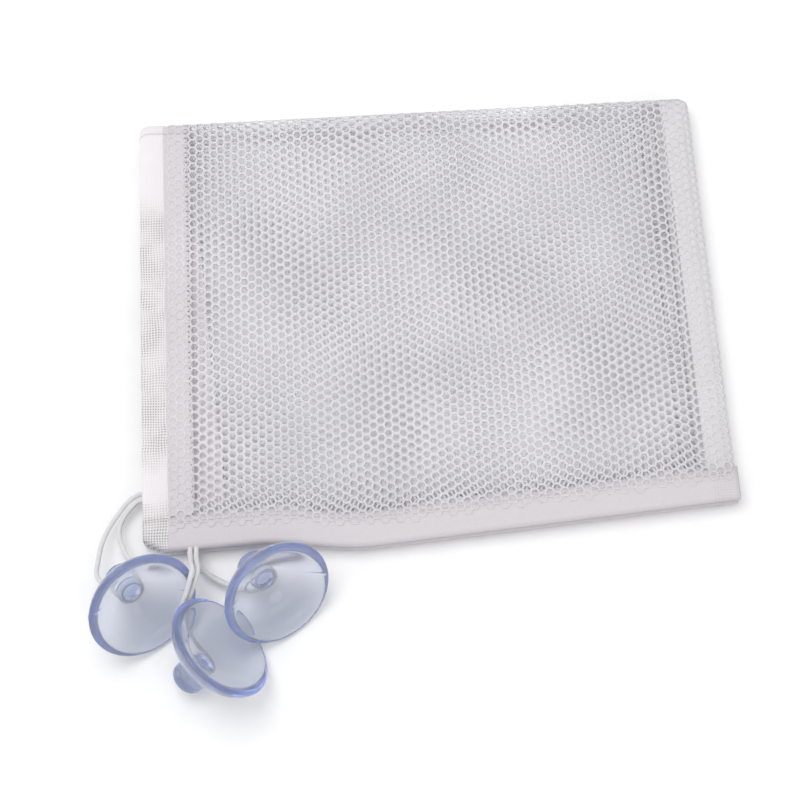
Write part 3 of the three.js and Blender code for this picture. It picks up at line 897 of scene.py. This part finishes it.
def smooth_path(points, step):
    """An even centripetal Catmull-Rom curve through points."""
    ends = [2 * points[0] - points[1], *points, 2 * points[-1] - points[-2]]
    curve = []
    for p0, p1, p2, p3 in zip(ends, ends[1:], ends[2:], ends[3:]):
        t0 = 0.0
        t1 = t0 + math.sqrt(np.linalg.norm(p1 - p0))
        t2 = t1 + math.sqrt(np.linalg.norm(p2 - p1))
        t3 = t2 + math.sqrt(np.linalg.norm(p3 - p2))
        t = np.linspace(t1, t2, SPAN_POINTS, endpoint=False)[:, None]
        a1 = (t1 - t) / (t1 - t0) * p0 + (t - t0) / (t1 - t0) * p1
        a2 = (t2 - t) / (t2 - t1) * p1 + (t - t1) / (t2 - t1) * p2
        a3 = (t3 - t) / (t3 - t2) * p2 + (t - t2) / (t3 - t2) * p3
        b1 = (t2 - t) / (t2 - t0) * a1 + (t - t0) / (t2 - t0) * a2
        b2 = (t3 - t) / (t3 - t1) * a2 + (t - t1) / (t3 - t1) * a3
        curve.append((t2 - t) / (t2 - t1) * b1 + (t - t1) / (t2 - t1) * b2)
    curve = np.concatenate([*curve, [points[-1]]])
    way = np.concatenate([[0.0], np.cumsum(np.linalg.norm(np.diff(curve, axis=0), axis=1))])
    marks = np.linspace(0.0, way[-1], int(way[-1] / step) + 1)
    return np.stack([np.interp(marks, way, curve[:, k]) for k in range(3)], -1), way[-1]


def cord(number, material):
    """A braided tube along a cord's route."""
    path, length = smooth_path(cord_points(number), CORD_STEP)
    around = np.linspace(0.0, math.tau, CORD_SIDES, endpoint=False)
    lay_angle = CORD_STRANDS * around / 2
    cosines, sines = np.cos(around)[:, None], np.sin(around)[:, None]
    ahead = np.gradient(path, axis=0)
    ahead /= np.linalg.norm(ahead, axis=1, keepdims=True)
    normal = np.cross(ahead[0], (0.0, 0.0, 1.0))
    normal /= np.linalg.norm(normal)
    rings = []
    for mark, (point, way) in enumerate(zip(path, ahead)):
        normal = normal - way * np.dot(normal, way)
        normal /= np.linalg.norm(normal)
        side = np.cross(way, normal)
        twist = math.tau * mark * CORD_STEP / CORD_LAY
        braid = np.abs(np.sin(lay_angle + twist)) * np.abs(np.sin(lay_angle - twist))
        radius = CORD_DIAMETER / 2 * (BRAID_LOW + BRAID_RISE * np.sqrt(braid))
        rings.append(point + radius[:, None] * (cosines * normal + sines * side))
    piece = loft(f"cord_{number}", rings, material)
    return piece, path * MM, length * MM


def bezier(points, steps):
    """Points on a curve of two to four control points, without its first."""
    points = [np.array(p, float) for p in points]
    curve = []
    for t in np.linspace(0.0, 1.0, steps + 1)[1:]:
        level = points
        while len(level) > 1:
            level = [a + t * (b - a) for a, b in zip(level, level[1:])]
        curve.append(level[0])
    return curve


def cup_profile():
    """Radius and depth of the cup's section, from the knob's end over the outside to the dish's middle.
    Each line has its control points and its steps."""
    head, neck = DOME_DEPTH + NECK_LENGTH, DOME_DEPTH
    end = head + HEAD_LENGTH
    lines = (
        ([(0.0, end), (HEAD_RADIUS, end), (HEAD_RADIUS, end - HEAD_ROUND)], 10),
        ([(HEAD_RADIUS, end - HEAD_ROUND), (HEAD_RADIUS, head + HEAD_FILLET)], 2),
        ([(HEAD_RADIUS, head + HEAD_FILLET), (HEAD_RADIUS, head), (NECK_RADIUS, head)], 6),
        ([(NECK_RADIUS, head), (NECK_RADIUS, neck + NECK_FILLET)], 3),
        ([(NECK_RADIUS, neck + NECK_FILLET), (NECK_RADIUS, neck), (DOME_TOP_RADIUS, neck)], 6),
        ([(DOME_TOP_RADIUS, neck), SHOULDER, FLANK, (CUP_RADIUS, RIM_EDGE)], 28),
        ([(CUP_RADIUS, RIM_EDGE), (CUP_RADIUS, 0.0), (CUP_RADIUS - RIM_LAND, 0.0)], 10),
        ([(CUP_RADIUS - RIM_LAND, 0.0), DISH_FLANK, DISH_MIDDLE, (0.0, DISH_DEPTH)], 36),
    )
    return np.array([(0.0, end)] + [p for points, steps in lines for p in bezier(points, steps)])


def cup(number, material):
    """A turned cup with a fine mould line down two sides."""
    clear = np.linspace(MOULD_CLEAR, 180.0 - MOULD_CLEAR, CUP_HALF_SIDES)
    half_turn = np.concatenate([MOULD_DEGREES, clear])
    around = np.radians(np.concatenate([half_turn, half_turn + 180.0]) + MOULD_TURN[number - 1])
    ridge = np.tile(np.concatenate([MOULD_HEIGHTS, np.zeros(CUP_HALF_SIDES)]), 2)
    sides = len(around)
    profile = cup_profile()
    centre, axis, across, uphill = cup_place(number)
    outside = int(np.argmax(profile[:, 1] <= RIM_EDGE))
    points = [centre - profile[0, 1] * axis]
    for mark, (radius, depth) in enumerate(profile[1:-1], 1):
        for angle, line in zip(around, ridge):
            reach = radius + (line if mark < outside else 0.0)
            direction = math.cos(angle) * across + math.sin(angle) * uphill
            points.append(centre - depth * axis + reach * direction)
    points.append(centre - profile[-1, 1] * axis)
    rings = len(profile) - 2
    faces = loft_faces(rings, sides, 1)[:-2]
    last = len(points) - 1
    inmost = 1 + (rings - 1) * sides
    for side in range(sides):
        after = (side + 1) % sides
        faces.append([0, 1 + after, 1 + side])
        faces.append([last, inmost + side, inmost + after])
    piece = add_mesh(f"cup_{number}", points, faces, material)
    face_out(piece)
    piece.data.set_sharp_from_angle(angle=CUP_SHARP)
    return piece


# What each piece rides on, and which nodes it replaces
def across_fold(piece):
    """Bakes the piece's place into its mesh, so that it rides on neither half."""
    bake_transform(piece)


def carry(piece, body, nodes=()):
    """The piece rides on a body, if one is given, and hides the nodes it replaces."""
    if body:
        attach(piece, body)
    if nodes:
        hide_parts(*nodes)


def lay_net(piece, body, width, length, *nodes):
    carry(piece, body, nodes)


def lay_tape(piece, body, width, length, *nodes):
    carry(piece, body, nodes)


# Camera and cords first, then the rest
make_camera()
cord_look, thread_look = cord_material(), thread_material()
net_look, hem_look, cup_look = net_material(), hem_material(), cup_material()
tape_look = tape_material("woven_tape", (0.85, 0.835, 0.85))
# The inner tape's dense half is left lighter than the outer tape's: painted light that offsets the
# shade it lies in between the walls
lit_lining_look = tape_material("woven_lining_lit", (1.0, 0.99, 1.0))

for number, body in enumerate(CORD_BODIES, 1):
    piece, path, length = cord(number, cord_look)
    if body == "corner_loops":
        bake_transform(piece)
    else:
        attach(piece, body)
    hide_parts(f"cord_loop_{number}")

for number in (1, 2, 3):
    piece = cup(number, cup_look)
    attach(piece, f"cup_{number}")
    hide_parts(f"suction_cup_{number}")

# Nets and tapes of the outer and inner walls: each half's own part and the strips across the fold
for inner in (False, True):
    layer = "inner" if inner else "outer"
    strip = INNER_STRIP if inner else OUTER_STRIP
    look = lit_lining_look if inner else tape_look
    for half, low, high in (("lower", -FAR, -strip), ("upper", strip, FAR)):
        piece = wall_net(f"{half}_{layer}_mesh", inner, low, high, net_look)
        lay_net(piece, f"bag_{half}", NET_LENGTH, PANEL_WIDTH, f"{half}_{layer}_net")
    piece = wall_net(f"fold_{layer}_mesh", inner, -strip, strip, net_look)
    across_fold(piece)
    lay_net(piece, None, NET_LENGTH, 2 * strip)
    if not inner:
        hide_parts("lower_fold_edge", "upper_fold_edge")
        slack = wall_net("fold_slack_mesh", False, -SLACK_STRIP, SLACK_STRIP, net_look, SLACK_SINK)
        across_fold(slack)
        lay_net(slack, None, NET_LENGTH, 2 * SLACK_STRIP)

    tape_strip = strip + TAPE_LAP
    for half, low, high in (("lower", None, -tape_strip), ("upper", tape_strip, None)):
        piece = mouth_tape(f"{half}_{layer}_tape", inner, low, high, look)
        length = float(seam_reach(MOUTH_X + TAPE_MEASURE, inner)) - TAPE_SHORT - tape_strip
        lay_tape(piece, f"bag_{half}", TAPE_EDGE_X - MOUTH_X, length, f"{half}_{layer}_mouth_tape")
    piece = mouth_tape(f"fold_{layer}_tape", inner, -tape_strip, tape_strip, look)
    across_fold(piece)
    lay_tape(piece, None, TAPE_EDGE_X - MOUTH_X, 2 * tape_strip)

# The bottom, the seam and the stitches of each half
LOOSE_BAND = (BINDING_WIDTH - LOOSE_UNDER, BINDING_WIDTH + LOOSE_EDGE)
for upper in (False, True):
    half = "upper" if upper else "lower"
    body = f"bag_{half}"
    piece = bottom_net(f"{half}_bottom_mesh", upper, net_look)
    lay_net(piece, body, BOTTOM_NET_WIDTH, BOTTOM_CLOTH_LENGTH, f"{half}_bottom_fold")
    piece = bottom_hem(f"{half}_hem", upper, hem_look)
    hem_width = 2 * HEM_WIDTH + HEM_TURN + HEM_STEP * (1 if upper else 5)
    lay_tape(piece, body, hem_width, BOTTOM_CLOTH_LENGTH)
    piece = pressed_edge(f"{half}_pressed_edge", upper, hem_look)
    lay_tape(piece, body, PRESSED_EDGE + PRESSED_UNDER, NET_LENGTH - HEM_WIDTH + NET_END)
    low, high = (0.0, FAR) if upper else (-FAR, 0.0)
    piece = wall_net(f"{half}_loose_edge", False, low, high, net_look, LOOSE_SINK, LOOSE_BAND)
    lay_net(piece, body, NET_LENGTH, LOOSE_EDGE + LOOSE_UNDER)
    low, high = UPPER_BINDING if upper else LOWER_BINDING
    piece = side_binding(f"{half}_binding", low, high, tape_look)
    lay_tape(piece, body, 2 * BINDING_WIDTH + high - low, BAG_LENGTH, f"{half}_side_binding")
    carry(mouth_stitches(f"{half}_mouth_stitches", upper, thread_look), body)
    row_height = high + UPPER_STITCH_RISE if upper else low - LOWER_STITCH_DROP
    carry(seam_stitches(f"{half}_seam_stitches", row_height, upper, thread_look), body)


# Floor and light
def floor():
    sides = ((-1, -1), (1, -1), (1, 1), (-1, 1))
    corners = [(x * FLOOR_HALF, y * FLOOR_HALF, FLOOR_Z) for x, y in sides]
    piece = add_mesh("floor", corners, [[0, 1, 2, 3]], floor_material())


def light(name, place, size, power):
    data = bpy.data.lights.new(name, "AREA")
    data.shape, data.size, data.energy = "DISK", size, power
    lamp = bpy.data.objects.new(name, data)
    lamp.location = place
    lamp.rotation_euler = Vector(place).to_track_quat("Z", "Y").to_euler()
    scene.collection.objects.link(lamp)


floor()
light("top_light", *TOP_LIGHT)
light("front_light", *FRONT_LIGHT)
world = bpy.data.worlds.new("studio")
world.use_nodes = True
background = world.node_tree.nodes["Background"]
background.inputs["Color"].default_value = WORLD_COLOUR
background.inputs["Strength"].default_value = WORLD_STRENGTH
scene.world = world
scene.view_settings.view_transform = "Standard"
scene.cycles.max_bounces = CLEAR_BOUNCES
scene.cycles.diffuse_bounces = DIFFUSE_BOUNCES
scene.cycles.glossy_bounces = CLEAR_BOUNCES
scene.cycles.transmission_bounces = CLEAR_BOUNCES
